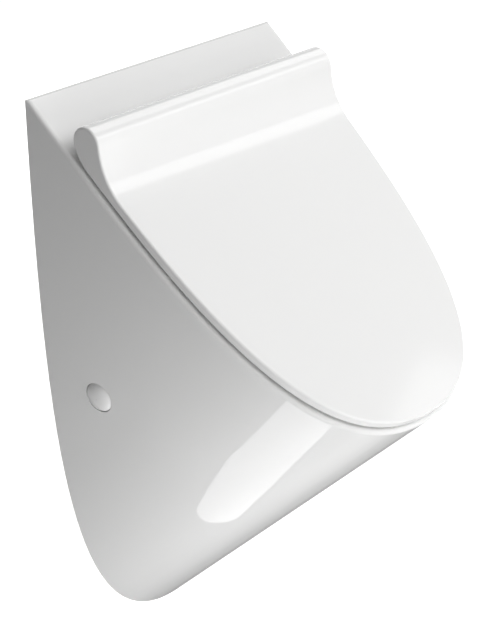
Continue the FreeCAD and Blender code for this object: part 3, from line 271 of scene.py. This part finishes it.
def finish(name, colour, roughness, metallic=0.0, scale=300.0, tone=0.04, spread=0.05, relief=0.00002,
           stretch=(1, 1, 1), ior=1.5):
    """A finish whose colour, roughness and relief vary on a fine scale."""
    material = bpy.data.materials.new(name)
    material.use_nodes = True
    tree = material.node_tree
    shader = tree.nodes["Principled BSDF"]
    shader.inputs["Metallic"].default_value = metallic
    shader.inputs["IOR"].default_value = ior
    grain = link_noise(tree, scale, stretch)
    blend = tree.nodes.new("ShaderNodeMix")
    blend.data_type = "RGBA"
    blend.inputs["A"].default_value = (*(value * (1 - tone) for value in colour), 1)
    blend.inputs["B"].default_value = (*colour, 1)
    tree.links.new(grain, blend.inputs["Factor"])
    tree.links.new(blend.outputs["Result"], shader.inputs["Base Color"])
    shine = tree.nodes.new("ShaderNodeMapRange")
    shine.inputs["To Min"].default_value = max(0.02, roughness - spread)
    shine.inputs["To Max"].default_value = roughness + spread
    tree.links.new(grain, shine.inputs["Value"])
    tree.links.new(shine.outputs[0], shader.inputs["Roughness"])
    bump = tree.nodes.new("ShaderNodeBump")
    bump.inputs["Distance"].default_value = relief
    tree.links.new(grain, bump.inputs["Height"])
    tree.links.new(bump.outputs[0], shader.inputs["Normal"])
    return material


def leave_bare(material):
    """Leave the glaze off the back, where the body stands on the wall."""
    tree = material.node_tree
    shader = tree.nodes["Principled BSDF"]
    place = tree.nodes.new("ShaderNodeTexCoord")
    axes = tree.nodes.new("ShaderNodeSeparateXYZ")
    behind = tree.nodes.new("ShaderNodeMath")
    behind.operation = "GREATER_THAN"
    behind.inputs[1].default_value = BARE["behind_y"]
    tree.links.new(place.outputs["Object"], axes.inputs[0])
    tree.links.new(axes.outputs["Y"], behind.inputs[0])
    for socket, bare, kind in (("Base Color", (*BARE["colour"], 1), "RGBA"),
                               ("Roughness", BARE["roughness"], "FLOAT")):
        mix = tree.nodes.new("ShaderNodeMix")
        mix.data_type = kind
        tree.links.new(shader.inputs[socket].links[0].from_socket, mix.inputs["A"])
        mix.inputs["B"].default_value = bare
        tree.links.new(behind.outputs[0], mix.inputs["Factor"])
        tree.links.new(mix.outputs["Result"], shader.inputs[socket])


def pair(stem):
    return f"{stem}_left", f"{stem}_right"


# ---- pieces that replace the carried-over ones, or are added to them -----------

def mesh_piece(name, verts, faces, material):
    mesh = bpy.data.meshes.new(name)
    mesh.from_pydata(verts, [], faces)
    mesh.validate()
    mesh.materials.append(material)
    mesh.shade_smooth()
    piece = bpy.data.objects.new(name, mesh)
    SCENE.collection.objects.link(piece)
    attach(piece, "urinal")
    return piece


def band(radius_at, heights, place, steps):
    """Points and faces of a closed band of rings, whose radius depends on ring, height and angle."""
    verts = []
    for step in range(steps):
        angle = 2 * math.pi * step / steps
        for ring, height in enumerate(heights):
            radius = radius_at(ring, height, angle)
            verts.append(place @ Vector((radius * math.cos(angle), radius * math.sin(angle), height)))
    count = len(heights)
    faces = [(step * count + ring, (step + 1) % steps * count + ring,
              (step + 1) % steps * count + (ring + 1) % count, step * count + (ring + 1) % count)
             for step in range(steps) for ring in range(count)]
    return verts, faces


def grip_ribs(node, axis, material):
    """Moulded ribs round a nut, on the band that its box gives."""
    low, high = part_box(node)
    across = "xyz".replace(axis, "")[0]
    radius = (getattr(high, across) - getattr(low, across)) / 2
    half = (getattr(high, axis) - getattr(low, axis)) / 2
    place = Matrix.Translation((low + high) / 2)
    if axis == "y":
        place = place @ Matrix.Rotation(math.pi / 2, 4, "X")
    count, margin = RIBS["count"], RIBS["margin"]

    def radius_at(ring, height, angle):
        if ring in (0, 5):
            return radius - RIBS["sunk"]
        if ring in (1, 4):
            return radius - RIBS["shoulder"]
        return radius + RIBS["proud"] * max(0.0, math.cos(count * angle)) ** RIBS["sharpness"]

    heights = [-half + margin, -half + margin, -half + 2 * margin,
               half - 2 * margin, half - margin, half - margin]
    verts, faces = band(radius_at, heights, place, count * RIBS["steps"])
    mesh_piece(f"{node}_ribs", verts, faces, material)


def threaded(name, node, outline, thread, place, material, socket=0.0, closed=False):
    """A turned piece that stands for a node, threaded between two heights of its outline.

    An open outline runs from pole to pole, and may end in a hexagon socket. A closed one is a tube's.
    """
    start, end, pitch = thread["start"], thread["end"], thread["pitch"]
    rows = []
    for (radius, height), (_, following) in zip(outline, outline[1:] + outline[:1]):
        rows.append((radius, height, "plain"))
        if (height, following) == (start, end):
            count = round((end - start) / pitch * ROWS_PER_TURN)
            rows += [(radius, start + (end - start) * row / count, "thread") for row in range(1, count)]
    if socket:
        top = outline[-1][1]
        rows += [(socket, top, "socket"), (socket, top - socket, "socket"), (POLE, top - socket, "plain")]

    def radius_at(ring, height, angle):
        radius, _, kind = rows[ring]
        if kind == "thread":
            wave = abs((height / pitch - angle / (2 * math.pi)) % 1 * 2 - 1)
            fade = min(1.0, (height - start) / pitch, (end - height) / pitch)
            return radius - thread["depth"] * wave * fade
        if kind == "socket":
            return radius * math.cos(math.pi / 6) / math.cos(angle % (math.pi / 3) - math.pi / 6)
        return radius

    verts, faces = band(radius_at, [height for _, height, _ in rows], place, TURNED_SIDES)
    if not closed:
        count = len(rows)
        faces = [face for number, face in enumerate(faces) if number % count != count - 1]
        faces.append([step * count for step in range(TURNED_SIDES)][::-1])
        faces.append([step * count + count - 1 for step in range(TURNED_SIDES)])
    piece = mesh_piece(name, verts, faces, material)
    piece.data.set_sharp_from_angle(angle=math.radians(SHARP_EDGE))
    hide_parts(node)


def side_frame(sign):
    """Frame on a side fixing's axis where it leaves the ceramic, +Z outward."""
    yaw, dip = (math.radians(SIDE_FIXING[key]) for key in ("yaw", "dip"))
    return (Matrix.Translation((sign * SIDE_FIXING["half"], -SIDE_FIXING["distance"], 0))
            @ Matrix.Rotation(-sign * yaw, 4, "Z") @ Matrix.Rotation(sign * dip, 4, "Y")
            @ Matrix.Rotation(sign * math.pi / 2, 4, "Y"))


def cover_cap(side, sign, material):
    """Button-shaped cover of a side fixing, a full dome with steep flanks."""
    radius, base, top = CAP["radius"], -CAP["sunk"], -CAP["sunk"] + CAP["rise"]
    inner = radius - CAP["wall"]
    outline = [(inner, -CAP["skirt"]), (radius, -CAP["skirt"]), (radius, base)]
    for ring in range(1, CAP["rings"]):
        angle = math.pi / 2 * ring / CAP["rings"]
        outline.append((radius * math.cos(angle) ** CAP["fullness"], base + CAP["rise"] * math.sin(angle)))
    outline += [(POLE, top), (POLE, top - CAP["wall"]), (inner, base - CAP["recess"])]
    verts, faces = band(lambda ring, height, angle: outline[ring][0], [height for _, height in outline],
                        side_frame(sign), CAP["sides"])
    piece = mesh_piece(f"cover_cap_{side}", verts, faces, material)
    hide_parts(f"side_cap_{side}")


def side_screw(side, sign, material):
    """M8 screw through the side into the bracket, its head just under the ceramic's surface."""
    head, bevel, shank, length = (SIDE_SCREW[key] for key in ("head", "head_bevel", "shank", "length"))
    start, end = SIDE_THREAD["start"], SIDE_THREAD["end"]
    outline = [(POLE, 0), (head - bevel, 0), (head, bevel), (head, SIDE_SCREW["head_height"]),
               (shank, SIDE_SCREW["head_height"]), (shank, start), (shank, end),
               (SIDE_SCREW["tip"], length), (POLE, length)]
    inward = Matrix.Translation((0, 0, -SIDE_SCREW["under_surface"])) @ Matrix.Rotation(math.pi, 4, "X")
    threaded(f"side_screw_cut_{side}", f"side_screw_{side}", outline, SIDE_THREAD,
             side_frame(sign) @ inward, material)


def hinge_bolt(side, sign, material):
    """M6 bolt with a countersunk socket head, square to the slope."""
    shank, head, length = (HINGE_BOLT[key] for key in ("shank", "head", "length"))
    outline = [(POLE, 0), (HINGE_BOLT["tip"], 0), (shank, BOLT_THREAD["start"]),
               (shank, BOLT_THREAD["end"]), (shank, HINGE_BOLT["cone_start"]),
               (head, HINGE_BOLT["cone_end"]), (head, length)]
    place = (Matrix.Translation((0, -SLOPE["top_land"], cad_box[1][2]))
             @ Matrix.Rotation(math.radians(SLOPE["angle"]), 4, "X")
             @ Matrix.Translation((sign * SLOPE["hinge_half"], -SLOPE["hinge_foot"],
                                   SLOPE["bolt_top"] - length)))
    threaded(f"hinge_bolt_cut_{side}", f"hinge_bolt_{side}", outline, BOLT_THREAD, place, material,
             socket=HINGE_BOLT["socket"])


def inlet_pipe(material):
    """Inlet pipe with its wall thread and collar."""
    bore, root, tail, length = (PIPE[key] for key in ("bore", "root", "tail", "length"))
    collar, bevel = PIPE["collar"], PIPE["collar_bevel"]
    first, last = PIPE["collar_start"], PIPE["collar_end"]
    outline = [(bore, 0), (root, 0), (PIPE["thread"], PIPE_THREAD["start"]),
               (PIPE["thread"], PIPE_THREAD["end"]), (root, first), (collar - bevel, first),
               (collar, first + bevel), (collar, last - bevel), (collar - bevel, last), (tail, last),
               (tail, length), (bore, length)]
    place = (Matrix.Translation((0, INLET["behind_wall"], INLET["height"]))
             @ Matrix.Rotation(math.pi / 2, 4, "X"))
    threaded("inlet_pipe_cut", "inlet_pipe", outline, PIPE_THREAD, place, material,
             closed=True)


place_camera()
set_world()
floor_height = cad_box[0][2] - FLOOR["below"]
lay_floor(floor_height)
lay_painted_shade_card(floor_height + CARD["lift"])
hang_lamps()

# ---- finishes of the carried-over pieces ---------------------------------------

glaze = finish("glaze", (0.86, 0.86, 0.855), 0.035, ior=1.6, scale=60, tone=0.006, spread=0.008,
               relief=0.00001)
leave_bare(glaze)
lid_gloss = finish("lid_gloss", (0.87, 0.87, 0.865), 0.07, scale=500, tone=0.006, spread=0.01,
                   relief=0.000004)
cap_gloss = finish("cap_gloss", (0.93, 0.93, 0.925), 0.09, scale=700, tone=0.01, spread=0.03,
                   relief=0.000004)
buffer_rubber = finish("buffer_rubber", (0.62, 0.62, 0.60), 0.48, scale=1400, tone=0.10, spread=0.10,
                       relief=0.00003)
black_rubber = finish("black_rubber", (0.028, 0.028, 0.030), 0.62, scale=1500, tone=0.30, spread=0.12,
                      relief=0.00004)
brushed = finish("brushed_stainless", (0.56, 0.57, 0.58), 0.30, metallic=1, scale=900, tone=0.16,
                 spread=0.10, stretch=(0.04, 1, 1))
turned_steel = finish("turned_steel", (0.58, 0.59, 0.60), 0.27, metallic=1, scale=1100, tone=0.14,
                      spread=0.09, stretch=(1, 0.15, 1))
zinc = finish("zinc_plate", (0.50, 0.51, 0.53), 0.42, metallic=1, scale=260, tone=0.22, spread=0.14)
brass = finish("machined_brass", (0.60, 0.44, 0.19), 0.25, metallic=1, scale=1000, tone=0.16,
               spread=0.08, stretch=(1, 0.1, 1))
chrome = finish("polished_chrome", (0.66, 0.67, 0.68), 0.09, metallic=1, scale=420, tone=0.03,
                spread=0.04, relief=0.000004)
acetal = finish("dark_acetal", (0.030, 0.030, 0.033), 0.36, scale=1600, tone=0.18, spread=0.08)
nylon = finish("natural_nylon", (0.66, 0.65, 0.60), 0.42, scale=900, tone=0.06, spread=0.08)
moulded = finish("moulded_polypropylene", (0.74, 0.74, 0.72), 0.38, scale=1500, tone=0.05, spread=0.08,
                 relief=0.00003)
FINISHES = {
    glaze: ["ceramic_body"],
    lid_gloss: ["lid"],
    cap_gloss: [*pair("side_cap")],
    buffer_rubber: ["front_buffers", "rear_buffers"],
    black_rubber: [*pair("hinge_gasket"), *pair("hinge_plug"), "inlet_gasket", "inlet_seal",
                   "drain_gasket", "lower_gasket", "trap_seal", "outlet_seal"],
    brushed: [*pair("hinge_arm"), *pair("hinge_shaft")],
    turned_steel: [*pair("hinge_bolt"), *pair("hinge_nut"), *pair("side_screw"), *pair("fixing_nut")],
    acetal: [*pair("lid_damper")],
    nylon: [*pair("side_bush")],
    zinc: [*pair("wall_bracket")],
    brass: ["inlet_pipe", "inlet_nut"],
    chrome: ["water_spreader", "strainer", "strainer_screw"],
    moulded: ["waste_fitting", "waste_nut", "trap_body", "trap_nut", "dip_tube", "outlet_pipe",
              "outlet_nut"],
}
for material, names in FINISHES.items():
    for name in names:
        NODES[name].data.materials.clear()
        NODES[name].data.materials.append(material)

# ---- the scene's own pieces ------------------------------------------------------

for side, sign in (("left", -1), ("right", 1)):
    cover_cap(side, sign, cap_gloss)
    side_screw(side, sign, turned_steel)
    hinge_bolt(side, sign, turned_steel)
inlet_pipe(brass)
for node, axis in (("trap_nut", "z"), ("outlet_nut", "y"), ("waste_nut", "z")):
    grip_ribs(node, axis, moulded)
